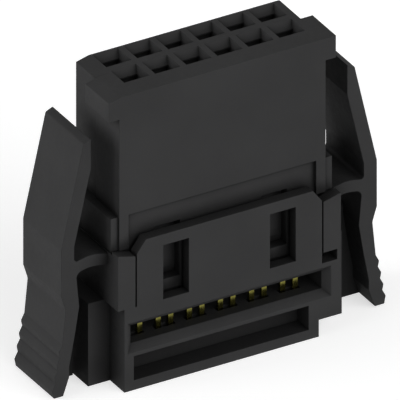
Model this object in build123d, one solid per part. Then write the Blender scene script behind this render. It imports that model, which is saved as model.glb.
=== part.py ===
from build123d import *
import os

# Socket header for a 12-way, 1.27 mm ribbon cable, closed on its cable side by a latching cover.
# Millimetres. X runs along the contact rows, Y across them, Z up to the mating face.
# The origin is at the middle of the flat base of the cover.

# Contact grid and cable
pitch = 1.27
columns = 6
row_spacing = 1.27
wire_pitch = 0.635
cable_clearance = 0.09
fork_y = 1.285

# Contact housing: head, neck, flange and plug, from the mating face down
housing_top = 11.77
head_height = 0.90
neck_bottom = 6.85
flange_bottom = 5.51
plug_bottom = 2.55
body_half_depth = 1.585
key_depth = 1.65
head_end_wall = 0.295
neck_step = 0.06
key_overhang = 0.426
flange_step = 0.305
flange_setback = 0.08
end_slope_run = 0.51
end_slope_drop = 0.13

# Shallow relief that lets the snap tongues flex, on both broad faces
relief_side_clearance = 0.05
relief_depth = 0.14
relief_top_rise = 0.035

# Channels behind the two windows of each tongue
channel_width = 1.06
channel_depth = 0.385
channel_bottom = 3.74
channel_top = 6.00
channel_slope_rise = 0.25
channel_slope_run = 0.06
under_nose_bottom = 2.90
under_nose_top = 3.30
under_nose_depth = 0.05
back_channel_depth = 0.05

# Pin entries in the mating face: a lead-in, a throat, and the wider chamber behind it
pin_shift_x = 0.165
pin_shift_y = 0.375
mouth_width = 1.03
mouth_length = 0.97
throat_width = 0.83
throat_length = 0.44
lead_in = 0.25
throat_land = 0.06
chamber_near = 0.09
chamber_far = 0.72
chamber_bottom = 3.45

# Stamped contacts
strip = 0.12
contact_clearance = 0.03
beam_width = 0.50
base_bottom = 3.50
beam_bend_z = 8.50
beam_pinch_z = 10.30
beam_tip_z = 10.90
beam_pinch = 0.14
beam_tip_lean = 0.05
tine_pitch = 0.51
tine_width = 0.20
fork_slot_top = 2.90
tine_tip_z = 1.60
tine_point = 0.16

# Cable cover: base block, ears, collar and snap tongues
front_y = 2.085
wall = 0.42
side_wall = 0.45
ear_step = 0.63
ear_half_depth = 1.058
ear_top = 3.37
rim_clearance = 0.03
plug_clearance = 0.05
plug_end_wall = 0.2025
block_left_step = 0.26
block_right_step = 0.90
block_step_z = 0.69
post_width = 0.71
post_inner_top = 5.44
post_outer_top = 5.62
slit_width = 0.06

# Snap tongues with two windows each
tongue_top = 6.01
tongue_chamfer_x = 0.37
tongue_chamfer_z = 0.50
window_offset = 2.18
window_width = 1.055
window_bottom = 3.355
window_top = 5.565

# Cable slot, chamfered at both mouths, with reliefs in its floor for the tines
slot_floor = 1.785
slot_top = 2.51
mouth_chamfer = 0.257
tine_relief_depth = 0.285
tine_relief_width = 0.84
tine_relief_thickness = 0.24

# Recess in each broad face below the slot, and the pocket beside one end of each tongue
recess_left_wall = 0.385
recess_right_wall = 0.415
recess_bottom = 0.395
recess_top = 1.38
recess_depth = 0.80
pocket_bottom = 2.95
pocket_end_wall = 0.15
pocket_depth = 0.60

# Latch levers: outline of the right one, from the hook down, with X counted outward from the collar's side
lever_half_depth = 1.345
hook_inner_x = 0.693
hook_top = 10.25
hook_bottom = 9.04
lever_tip_drop = 0.12
lever_outer_top_x = 0.983
lever_outer_x = 1.897
lever_inner_x = 1.367
lever_bend_z = 6.05
lever_waist_top = 4.16
lever_waist_x = 1.714
lever_waist_z = 3.56
grip_start_x = 1.85
grip_start_z = 2.17
grip_inner_x = 1.163
grip_inner_mid_x = 1.367
grip_inner_mid_z = 2.31
grip_inner_low_x = 1.57
grip_inner_low_z = 1.23
grip_foot_inner_x = 1.816
grip_foot_z = 0.09
tooth_count = 4
tooth_pitch = 0.50
tooth_depth = 0.13
tooth_rise = 0.25
tooth_land = 0.06
tooth_lean = 0.09
grip_inner_foot_z = 0.80
bend_radius = 0.30
tip_radius = 0.10
foot_radius = 0.05

# Arched webs that carry the levers, and the stiffening rib inside each grip
web_end_top = 5.40
web_crown_top = 5.54
web_end_bottom = 4.95
web_crown_bottom = 5.07
web_top_radius = 0.12
web_under_radius = 0.25
web_crown_radius = 1.20
rib_thickness = 0.44
rib_clearance = 0.14
rib_top = 3.95
rib_shoulder = 3.30

# Values worked out from the sizes above
last = (columns - 1) / 2
column_x = [pitch * (i - last) for i in range(columns)]
row_y = {"front": -row_spacing / 2, "back": row_spacing / 2}
side = {"front": -1, "back": 1}
fork_shift = wire_pitch / 2
fork_half_width = tine_pitch / 2 + tine_width / 2
outermost_fork = pitch * last + fork_shift + fork_half_width
outermost_mouth = pitch * last + pin_shift_x + mouth_width / 2
back_half_width = outermost_mouth + head_end_wall
neck_half_width = back_half_width + neck_step
head_half_width = neck_half_width + key_overhang
flange_half_width = neck_half_width + flange_step
plug_half_depth = body_half_depth - relief_depth
plug_half_width = outermost_fork + plug_end_wall
relief_top = neck_bottom + relief_top_rise
rim_z = flange_bottom - rim_clearance
collar_half_width = plug_half_width + plug_clearance + side_wall
ear_half_width = collar_half_width + ear_step
block_left = collar_half_width - block_left_step
block_right = collar_half_width - block_right_step
recess_left = block_left - recess_left_wall
recess_right = block_right - recess_right_wall
tongue_half_width = collar_half_width - post_width - slit_width
relief_half_width = tongue_half_width + relief_side_clearance
slot_half_width = columns * wire_pitch + cable_clearance


def block(x0, x1, y0, y1, z0, z1):
    """Box between two corners."""
    return Pos((x0 + x1) / 2, (y0 + y1) / 2, (z0 + z1) / 2) * Box(x1 - x0, y1 - y0, z1 - z0)


def plate_xz(points, y0, y1):
    """Closed outline in X and Z, given thickness from y0 to y1."""
    outline = Polyline(*[(x, 0, z) for x, z in points], close=True)
    solid = extrude(make_face(outline), amount=y1 - y0, dir=(0, 1, 0))
    return Pos(0, y0, 0) * solid


def plate_yz(points, x0, x1):
    """Closed outline in Y and Z, given thickness from x0 to x1."""
    outline = Polyline(*[(0, y, z) for y, z in points], close=True)
    solid = extrude(make_face(outline), amount=x1 - x0, dir=(1, 0, 0))
    return Pos(x0, 0, 0) * solid


def half_turn(shape):
    """The same shape turned half a turn about Z."""
    return Rot(0, 0, 180) * shape


def pin_entry(x, y):
    """Lead-in of one pin entry, wide at the mating face, and the throat below it."""
    throat_z = housing_top - lead_in
    mouth = Pos(x, y, housing_top) * Rectangle(mouth_width, mouth_length)
    throat = Pos(x, y, throat_z) * Rectangle(throat_width, throat_length)
    return loft([throat, mouth]) + extrude(throat, amount=-throat_land)


def contact_cavity(x, row):
    """Entry, chamber, tail passage and tail slot for one contact."""
    y = row_y[row]
    pin_x = x + pin_shift_x
    tail_x = x + side[row] * fork_shift
    tail_y = side[row] * fork_y
    tail_half = fork_half_width + contact_clearance
    beam_half = beam_width / 2 + contact_clearance
    gap = strip / 2 + contact_clearance
    near = y - chamber_near
    far = y + chamber_far
    passage_top = base_bottom + strip + contact_clearance
    cavity = pin_entry(pin_x, y + pin_shift_y)
    cavity += block(pin_x - throat_width / 2, pin_x + throat_width / 2, near, far,
                    chamber_bottom, housing_top - lead_in - throat_land)
    left = min(tail_x - tail_half, pin_x - beam_half)
    right = max(tail_x + tail_half, pin_x + beam_half)
    cavity += block(left, right, min(near, tail_y - gap), max(far, tail_y + gap),
                    chamber_bottom, passage_top)
    cavity += block(tail_x - tail_half, tail_x + tail_half, tail_y - gap, tail_y + gap,
                    plug_bottom, passage_top)
    return cavity


def front_window_channel(x):
    """Relief behind one front window, with an undercut foot and a shallow step below it."""
    half = channel_width / 2
    deep = plug_half_depth - channel_depth
    outside = body_half_depth + relief_depth
    channel = plate_yz([(-outside, channel_top), (-deep, channel_top),
                        (-deep, channel_bottom + channel_slope_rise),
                        (-deep + channel_slope_run, channel_bottom), (-outside, channel_bottom)],
                       x - half, x + half)
    step = block(x - half, x + half, -outside, under_nose_depth - plug_half_depth,
                 under_nose_bottom, under_nose_top)
    return channel + step


def back_window_channel(x):
    """Shallow relief behind one back window, where the contact chambers leave only a thin wall."""
    half = channel_width / 2
    return block(x - half, x + half, plug_half_depth - back_channel_depth, body_half_depth + relief_depth,
                 channel_bottom, channel_top)


def end_slope(half_width, y0, y1):
    """Wedge that comes off the left end of the mating face, over one stretch of its depth."""
    return plate_xz([(-half_width, housing_top), (end_slope_run - half_width, housing_top),
                     (-half_width, housing_top - end_slope_drop)], y0, y1)


def make_contact_housing():
    """Insulator with keyed head, neck, flange and a plug that goes down inside the cover."""
    head_bottom = housing_top - head_height
    key_back = -body_half_depth + key_depth
    body = block(-back_half_width, back_half_width, key_back, body_half_depth, neck_bottom, housing_top)
    body += block(-neck_half_width, neck_half_width, -body_half_depth, key_back, neck_bottom, head_bottom)
    body += block(-head_half_width, head_half_width, -body_half_depth, key_back, head_bottom, housing_top)
    body += block(-neck_half_width, neck_half_width, -body_half_depth, body_half_depth,
                  flange_bottom, neck_bottom)
    body += block(-flange_half_width, flange_half_width, -body_half_depth + flange_setback,
                  body_half_depth - flange_setback, flange_bottom, neck_bottom)
    body += block(-plug_half_width, plug_half_width, -plug_half_depth, plug_half_depth,
                  plug_bottom, flange_bottom)
    body -= end_slope(back_half_width, key_back, body_half_depth)
    body -= end_slope(head_half_width, -body_half_depth, key_back)
    for direction in (-1, 1):
        inner = direction * plug_half_depth
        outer = direction * (body_half_depth + relief_depth)
        body -= block(-relief_half_width, relief_half_width, min(inner, outer), max(inner, outer),
                      plug_bottom, relief_top)
    for x in (-window_offset, window_offset):
        body -= front_window_channel(x)
        body -= back_window_channel(x)
    for row in ("front", "back"):
        for x in column_x:
            body -= contact_cavity(x, row)
    return body


def beam(x, y, lean):
    """One spring beam of a contact: straight, then pinched in, with a flared tip."""
    half = strip / 2
    foot = base_bottom + half
    path = [(y, foot), (y, beam_bend_z), (y + lean * beam_pinch, beam_pinch_z),
            (y + lean * beam_tip_lean, beam_tip_z)]
    near_edge = [(py - half, pz) for py, pz in path]
    far_edge = [(py + half, pz) for py, pz in reversed(path)]
    return plate_yz(near_edge + far_edge, x - beam_width / 2, x + beam_width / 2)


def make_contact(row):
    """One stamped contact of a row: two beams on its pin, a cranked base and a two-tine fork."""
    y = row_y[row]
    half = strip / 2
    near = y - chamber_near + contact_clearance + half
    far = y + chamber_far - contact_clearance - half
    beam_left = pin_shift_x - beam_width / 2
    beam_right = pin_shift_x + beam_width / 2
    tail_x = side[row] * fork_shift
    tail_y = side[row] * fork_y
    base_top = base_bottom + strip
    body = beam(pin_shift_x, near, 1) + beam(pin_shift_x, far, -1)
    body += block(beam_left, beam_right, near - half, far + half, base_bottom, base_top)
    left = min(tail_x - fork_half_width, beam_left)
    right = max(tail_x + fork_half_width, beam_right)
    reach = near if row == "front" else far
    body += block(left, right, min(reach, tail_y) - half, max(reach, tail_y) + half, base_bottom, base_top)
    slot_half = tine_pitch / 2 - tine_width / 2
    shoulder = tine_tip_z + tine_point
    edge = fork_half_width
    fork = [(edge, base_top), (edge, shoulder), (tine_pitch / 2, tine_tip_z),
            (slot_half, shoulder), (slot_half, fork_slot_top), (-slot_half, fork_slot_top),
            (-slot_half, shoulder), (-tine_pitch / 2, tine_tip_z),
            (-edge, shoulder), (-edge, base_top)]
    body += Pos(tail_x, 0, 0) * plate_xz(fork, tail_y - half, tail_y + half)
    return body


def front_block():
    """Front half of the base block; its two ends step differently, and the back one is its half turn."""
    return plate_xz([(-block_left, 0), (block_right, 0), (block_right, block_step_z),
                     (collar_half_width, block_step_z), (collar_half_width, ear_top),
                     (-block_left, ear_top)], -front_y, 0)


def tongue():
    """Upper part of the front snap tongue, above the rim of the collar."""
    return plate_xz([(-tongue_half_width, ear_top), (tongue_half_width, ear_top),
                     (tongue_half_width, tongue_top - tongue_chamfer_z),
                     (tongue_half_width - tongue_chamfer_x, tongue_top),
                     (-tongue_half_width + tongue_chamfer_x, tongue_top),
                     (-tongue_half_width, tongue_top - tongue_chamfer_z)], -front_y, -front_y + wall)


def post(direction):
    """Front post beside the tongue, with its top sloping down to the tongue."""
    inner = tongue_half_width + slit_width
    outline = [(inner, ear_top), (collar_half_width, ear_top), (collar_half_width, post_outer_top),
               (inner, post_inner_top)]
    return plate_xz([(direction * x, z) for x, z in outline], -front_y, -front_y + wall)


def front_cuts():
    """What is cut from the front face: windows, slot mouth, recess and end pocket."""
    inner_face = -front_y + wall
    cuts = []
    for x in (-window_offset, window_offset):
        cuts.append(block(x - window_width / 2, x + window_width / 2, -front_y - wall, inner_face + wall,
                          window_bottom, window_top))
    mouth_outer = Plane.XZ.offset(front_y) * Pos(0, (slot_floor + slot_top) / 2) * Rectangle(
        2 * (slot_half_width + mouth_chamfer), slot_top - slot_floor + 2 * mouth_chamfer)
    mouth_inner = Plane.XZ.offset(front_y - mouth_chamfer) * Pos(0, (slot_floor + slot_top) / 2) * Rectangle(
        2 * slot_half_width, slot_top - slot_floor)
    cuts.append(loft([mouth_inner, mouth_outer]))
    cuts.append(block(-recess_left, recess_right, -front_y - wall, -front_y + recess_depth,
                      recess_bottom, recess_top))
    cuts.append(block(tongue_half_width, collar_half_width - pocket_end_wall,
                      -front_y - wall, -front_y + pocket_depth, pocket_bottom, ear_top))
    return cuts


def tooth_points():
    """Outline of the grip teeth on the right lever, from the top one down, with X from the collar's side."""
    points = []
    for i in range(tooth_count):
        x = grip_start_x + tooth_lean * i
        z = grip_start_z - tooth_pitch * i
        points.append((x, z))
        points.append((x + tooth_depth, z - tooth_rise))
        points.append((x + tooth_depth, z - tooth_rise - tooth_land))
    return points


def round_at(solid, corner, radius):
    """Rounds the edge along Y that is nearest to a corner given in X and Z."""
    edge = solid.edges().filter_by(Axis.Y).sort_by_distance((corner[0], 0, corner[1]))[0]
    return fillet(edge, radius)


def make_lever():
    """Right latch lever: hook arm, arched web to the collar, grip with teeth, rib inside the grip."""
    wall_x = -side_wall / 2
    middle_x = lever_inner_x / 2
    under_x = grip_inner_x + web_under_radius / 2
    foot_x = grip_start_x + tooth_lean * tooth_count
    hook_edge = (lever_outer_top_x, hook_top - lever_tip_drop)
    waist = (lever_waist_x, lever_waist_z)
    arm_root = (lever_inner_x, web_end_top)
    web_root = (under_x, web_end_bottom)
    bend = (lever_outer_x, lever_bend_z)
    outline = [(hook_inner_x, hook_top), hook_edge, bend, (lever_outer_x, lever_waist_top), waist]
    outline += tooth_points()
    outline += [(foot_x, grip_start_z - tooth_pitch * tooth_count), (foot_x, grip_foot_z),
                (grip_foot_inner_x, grip_foot_z), (grip_inner_low_x, grip_inner_foot_z),
                (grip_inner_low_x, grip_inner_low_z), (grip_inner_mid_x, grip_inner_mid_z),
                (grip_inner_x, lever_waist_z), web_root, (middle_x, web_crown_bottom),
                (0, web_end_bottom), (wall_x, web_end_bottom), (wall_x, web_end_top),
                (0, web_end_top), (middle_x, web_crown_top), arm_root,
                (lever_inner_x, lever_bend_z), (hook_inner_x, hook_bottom)]
    lever = plate_xz(outline, -lever_half_depth, lever_half_depth)
    lever = round_at(lever, web_root, web_under_radius)
    lever = round_at(lever, arm_root, web_top_radius)
    lever = round_at(lever, (middle_x, web_crown_top), web_crown_radius)
    lever = round_at(lever, (middle_x, web_crown_bottom), web_crown_radius)
    lever = round_at(lever, bend, bend_radius)
    lever = round_at(lever, waist, bend_radius)
    lever = round_at(lever, hook_edge, tip_radius)
    lever = round_at(lever, (foot_x, grip_foot_z), foot_radius)
    rib_x = ear_step + rib_clearance
    rib = plate_xz([(rib_x, grip_foot_z), (grip_foot_inner_x, grip_foot_z),
                    (grip_inner_low_x, grip_inner_foot_z), (grip_inner_low_x, grip_inner_low_z),
                    (grip_inner_mid_x, grip_inner_mid_z), (grip_inner_x, lever_waist_z),
                    (grip_inner_x, rib_top), (rib_x, rib_shoulder)], -rib_thickness / 2, rib_thickness / 2)
    return Pos(collar_half_width, 0, 0) * (lever + rib)


def make_cable_cover():
    """Cable cover: base block with the cable slot, collar, snap tongues and the two latch levers."""
    inner_x = collar_half_width - side_wall
    inner_y = front_y - wall
    body = block(-ear_half_width, ear_half_width, -ear_half_depth, ear_half_depth, 0, ear_top)
    body += front_block() + half_turn(front_block())
    body -= block(-inner_x, inner_x, -inner_y, inner_y, slot_top, ear_top)
    body -= block(-slot_half_width, slot_half_width, -front_y, front_y, slot_floor, slot_top)
    for x0, x1 in ((inner_x, collar_half_width), (-collar_half_width, -inner_x)):
        body += block(x0, x1, -inner_y, inner_y, ear_top, rim_z)
    for piece in (tongue(), post(-1), post(1)):
        body += piece + half_turn(piece)
    for cut in front_cuts():
        body -= cut
        body -= half_turn(cut)
    for row in ("front", "back"):
        for x in column_x:
            tail_x = x + side[row] * fork_shift
            tail_y = side[row] * fork_y
            body -= block(tail_x - tine_relief_width / 2, tail_x + tine_relief_width / 2,
                          tail_y - tine_relief_thickness / 2, tail_y + tine_relief_thickness / 2,
                          slot_floor - tine_relief_depth, slot_floor)
    lever = make_lever()
    body += lever
    body += mirror(lever, Plane.YZ)
    return body


def write(node, shape):
    """Writes one piece as one solid."""
    solid = shape.solids()[0] if len(shape.solids()) == 1 else shape
    print(node, len(shape.solids()), round(shape.volume, 4), shape.is_valid)
    export_step(solid, f"parts/{node}.step")


os.makedirs("parts", exist_ok=True)
write("contact_housing", make_contact_housing())
write("cable_cover", make_cable_cover())
for row in ("front", "back"):
    contact = make_contact(row)
    for number, x in enumerate(column_x, start=1):
        write(f"{row}_contact_{number}", Pos(x, 0, 0) * contact)
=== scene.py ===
import math

import bpy
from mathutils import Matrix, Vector

# Looks of the ribbon cable socket: two dark matte mouldings and gold-plated contacts, on a pale floor.
# Metres, in the frame of the CAD model. Angles are in degrees.

mm = 0.001

# Camera: parallel projection from the photo's side
view_azimuth = -30
view_elevation = 30
view_width = 14.146 * mm
view_centre = Vector((0, 0, 5.592 * mm))
view_distance = 120 * mm
view_start = 1 * mm
view_end = 10

# Light: an even sky, one wide lamp from the left and one from the front
sky_level = 0.18
left_strength = 2.80
left_direction = (-0.95, 0.25, 0.15)
left_softness = 60
front_strength = 3.37
front_direction = (0.30, -0.93, 0.12)
front_softness = 90
white = (1, 1, 1, 1)

# Floor: its paint, and how much lighter it looks than it is lit
floor_half_width = 3.0
floor_paint = 0.70
floor_roughness = 0.9
floor_shine = 0.1
floor_lift = 0.62

# Plastic of both mouldings. Noise scales are in features per metre.
plastic_colour = (0.038, 0.038, 0.0385)
plastic_shine = 0.04
plastic_roughness = (0.58, 0.70)
edge_radius = 0.035 * mm
edge_samples = 8
flow_scale = 420
flow_tone = (0.93, 1.07)
speckle_scale = 5200
grain_scale = 16000
grain_strength = 0.25
grain_depth = 0.004 * mm

# Gold plating, with rolling lines drawn out along the strip
gold_colour = (0.20, 0.185, 0.045)
gold_roughness = (0.14, 0.26)
gold_tone_scale = 1800
gold_tone = (0.90, 1.05)
line_scale = 14000
line_stretch = (1, 1, 0.08)
line_strength = 0.12
line_depth = 0.002 * mm

# Noise: finer detail for bumps than for tones, and the middle range that its values mostly lie in
tone_detail = 2
bump_detail = 3
noise_low = 0.3
noise_high = 0.7

# Painted shade: the plastic's colour is darkened in hollows, within a reach for each moulding, and in
# creases, within a short reach for both, where shade falls
housing_shade_reach = 0.6 * mm
cover_shade_reach = 1.35 * mm
hollow_shade_closed = 0.62
hollow_shade_open = 0.96
hollow_shade_tone = 0.42
crease_shade_reach = 0.14 * mm
crease_shade_closed = 0.50
crease_shade_open = 1.0
crease_shade_tone = 0.65
openness_samples = 12


def start_material(name):
    """New node material, with its nodes, its links and its shader."""
    material = bpy.data.materials.new(name)
    material.use_nodes = True
    tree = material.node_tree
    return material, tree.nodes, tree.links, tree.nodes["Principled BSDF"]


def combined(nodes, links, operation, first, second):
    """Two factors joined by one of the Math node's operations."""
    step = nodes.new("ShaderNodeMath")
    step.operation = operation
    links.new(first, step.inputs[0])
    links.new(second, step.inputs[1])
    return step.outputs["Value"]


def remapped(nodes, links, source, from_range, to_range):
    """The source, moved from one range to another and held inside it."""
    spread = nodes.new("ShaderNodeMapRange")
    spread.inputs["From Min"].default_value, spread.inputs["From Max"].default_value = from_range
    spread.inputs["To Min"].default_value, spread.inputs["To Max"].default_value = to_range
    links.new(source, spread.inputs["Value"])
    return spread.outputs["Result"]


def noise(nodes, links, place, scale, detail):
    """Noise texture at a place."""
    texture = nodes.new("ShaderNodeTexNoise")
    texture.inputs["Scale"].default_value = scale
    texture.inputs["Detail"].default_value = detail
    links.new(place, texture.inputs["Vector"])
    return texture.outputs["Fac"]


def spread_noise(nodes, links, source, to_range):
    """Noise whose middle range fills the given range."""
    return remapped(nodes, links, source, (noise_low, noise_high), to_range)


def tinted(nodes, links, colour, factor):
    """The colour, darker and lighter by a factor."""
    scaled = nodes.new("ShaderNodeVectorMath")
    scaled.operation = "SCALE"
    scaled.inputs[0].default_value = colour
    links.new(factor, scaled.inputs["Scale"])
    return scaled.outputs["Vector"]


def bumped(nodes, links, height, strength, depth):
    """Bump node over a height."""
    bump = nodes.new("ShaderNodeBump")
    bump.inputs["Strength"].default_value = strength
    bump.inputs["Distance"].default_value = depth
    links.new(height, bump.inputs["Height"])
    return bump


def openness(nodes, reach, own_piece_only):
    """Share of each place's outlook that is free of neighbours within the reach."""
    outlook = nodes.new("ShaderNodeAmbientOcclusion")
    outlook.samples = openness_samples
    outlook.only_local = own_piece_only
    outlook.inputs["Distance"].default_value = reach
    return outlook.outputs["AO"]


def openness_above_floor(nodes, links, place, reach):
    """Openness to all pieces, and near the base to the piece itself alone, so that the floor is left out."""
    apart = nodes.new("ShaderNodeSeparateXYZ")
    links.new(place, apart.inputs["Vector"])
    blend = nodes.new("ShaderNodeMix")
    links.new(remapped(nodes, links, apart.outputs["Z"], (0, reach), (0, 1)), blend.inputs["Factor"])
    links.new(openness(nodes, reach, True), blend.inputs["A"])
    links.new(openness(nodes, reach, False), blend.inputs["B"])
    return blend.outputs["Result"]


def painted_cavity_shade(nodes, links, place, reach):
    """Painted shade: 1 on open faces, and darker in hollows and creases, where shade falls."""
    outlook = openness_above_floor(nodes, links, place, reach)
    hollow_shade = remapped(nodes, links, outlook, (hollow_shade_closed, hollow_shade_open), (hollow_shade_tone, 1))
    near_outlook = openness(nodes, crease_shade_reach, True)
    crease_shade = remapped(nodes, links, near_outlook, (crease_shade_closed, crease_shade_open), (crease_shade_tone, 1))
    return combined(nodes, links, "MULTIPLY", hollow_shade, crease_shade)


def moulded_plastic(name, reach):
    """Dark matte plastic: spark-eroded grain, faint flow marks, softly rounded edges, and shade painted into
    its colour in hollows and creases.
    """
    material, nodes, links, shader = start_material(name)
    place = nodes.new("ShaderNodeTexCoord").outputs["Object"]
    flow = spread_noise(nodes, links, noise(nodes, links, place, flow_scale, tone_detail), flow_tone)
    # Base colour: the flow marks times the painted shade in hollows and creases
    tone = combined(nodes, links, "MULTIPLY", flow, painted_cavity_shade(nodes, links, place, reach))
    links.new(tinted(nodes, links, plastic_colour, tone), shader.inputs["Base Color"])
    speckle = noise(nodes, links, place, speckle_scale, tone_detail)
    links.new(spread_noise(nodes, links, speckle, plastic_roughness), shader.inputs["Roughness"])
    shader.inputs["Specular IOR Level"].default_value = plastic_shine
    rounding = nodes.new("ShaderNodeBevel")
    rounding.samples = edge_samples
    rounding.inputs["Radius"].default_value = edge_radius
    grain = noise(nodes, links, place, grain_scale, bump_detail)
    bump = bumped(nodes, links, grain, grain_strength, grain_depth)
    links.new(rounding.outputs["Normal"], bump.inputs["Normal"])
    links.new(bump.outputs["Normal"], shader.inputs["Normal"])
    return material


def plated_metal(name):
    """Gold plating over stamped strip: rolling lines along the strip and a slightly uneven tone."""
    material, nodes, links, shader = start_material(name)
    place = nodes.new("ShaderNodeTexCoord").outputs["Object"]
    stretch = nodes.new("ShaderNodeMapping")
    stretch.inputs["Scale"].default_value = line_stretch
    links.new(place, stretch.inputs["Vector"])
    lines = noise(nodes, links, stretch.outputs["Vector"], line_scale, bump_detail)
    tone = spread_noise(nodes, links, noise(nodes, links, place, gold_tone_scale, tone_detail), gold_tone)
    links.new(tinted(nodes, links, gold_colour, tone), shader.inputs["Base Color"])
    links.new(spread_noise(nodes, links, lines, gold_roughness), shader.inputs["Roughness"])
    shader.inputs["Metallic"].default_value = 1.0
    bump = bumped(nodes, links, lines, line_strength, line_depth)
    links.new(bump.outputs["Normal"], shader.inputs["Normal"])
    return material


def seen_factor(nodes, links):
    """1 for rays that come straight from the camera, a mirror or glass, and 0 for light rays."""
    path = nodes.new("ShaderNodeLightPath")
    total = path.outputs["Is Camera Ray"]
    for ray in ("Is Glossy Ray", "Is Transmission Ray"):
        total = combined(nodes, links, "MAXIMUM", total, path.outputs[ray])
    return total


def floor_material():
    """White floor that keeps the object's shadow: lit paint, lifted to white where it is looked at."""
    material, nodes, links, shader = start_material("floor_white")
    shader.inputs["Base Color"].default_value = (floor_paint, floor_paint, floor_paint, 1)
    shader.inputs["Roughness"].default_value = floor_roughness
    shader.inputs["Specular IOR Level"].default_value = floor_shine
    shader.inputs["Emission Color"].default_value = white
    lift = remapped(nodes, links, seen_factor(nodes, links), (0, 1), (0, floor_lift))
    links.new(lift, shader.inputs["Emission Strength"])
    return material


def add_floor():
    """Wide floor under the object's base."""
    half = floor_half_width
    mesh = bpy.data.meshes.new("floor")
    corners = [(-half, -half, 0), (half, -half, 0), (half, half, 0), (-half, half, 0)]
    mesh.from_pydata(corners, [], [(0, 1, 2, 3)])
    mesh.materials.append(floor_material())
    floor = bpy.data.objects.new("floor", mesh)
    bpy.context.scene.collection.objects.link(floor)


def add_world():
    """Even studio sky, white where it is looked at."""
    world = bpy.data.worlds.new("studio")
    world.use_nodes = True
    nodes = world.node_tree.nodes
    links = world.node_tree.links
    background = nodes["Background"]
    background.inputs["Color"].default_value = white
    level = remapped(nodes, links, seen_factor(nodes, links), (0, 1), (sky_level, 1))
    links.new(level, background.inputs["Strength"])
    bpy.context.scene.world = world


def add_sun(name, strength, direction, softness):
    """Wide soft lamp that shines from a direction."""
    lamp = bpy.data.lights.new(name, "SUN")
    lamp.energy = strength
    lamp.angle = math.radians(softness)
    sun = bpy.data.objects.new(name, lamp)
    sun.rotation_euler = Vector(direction).to_track_quat("Z", "Y").to_euler()
    bpy.context.scene.collection.objects.link(sun)


def add_camera():
    """Camera at the photo's angle, as a parallel projection."""
    azimuth = math.radians(view_azimuth)
    elevation = math.radians(view_elevation)
    level_reach = math.cos(elevation)
    outward = Vector((math.sin(azimuth) * level_reach, -math.cos(azimuth) * level_reach, math.sin(elevation)))
    lens = bpy.data.cameras.new("camera")
    lens.type = "ORTHO"
    lens.ortho_scale = view_width
    lens.clip_start = view_start
    lens.clip_end = view_end
    camera = bpy.data.objects.new("camera", lens)
    camera.location = view_centre + outward * view_distance
    camera.rotation_euler = outward.to_track_quat("Z", "Y").to_euler()
    bpy.context.scene.collection.objects.link(camera)
    bpy.context.scene.camera = camera


def dress(nodes):
    """Gives each CAD node its finish."""
    finishes = {
        # Each moulding gets its own reach for the shade painted into its hollows
        "contact_housing": moulded_plastic("housing_plastic", housing_shade_reach),
        "cable_cover": moulded_plastic("cover_plastic", cover_shade_reach),
    }
    gold = plated_metal("contact_gold")
    for name, piece in nodes.items():
        finish = finishes.get(name, gold)
        for place in piece.material_slots:
            place.material = finish


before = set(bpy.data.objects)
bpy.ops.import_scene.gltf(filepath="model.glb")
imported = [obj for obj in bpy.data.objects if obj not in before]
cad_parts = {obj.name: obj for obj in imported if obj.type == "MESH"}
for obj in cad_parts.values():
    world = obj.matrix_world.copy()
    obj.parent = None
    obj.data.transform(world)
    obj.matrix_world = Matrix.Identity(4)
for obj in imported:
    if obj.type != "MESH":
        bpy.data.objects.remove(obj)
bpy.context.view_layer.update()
dress(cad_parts)
add_floor()
add_world()
add_sun("left", left_strength, left_direction, left_softness)
add_sun("front", front_strength, front_direction, front_softness)
add_camera()
bpy.context.scene.view_settings.view_transform = "Standard"
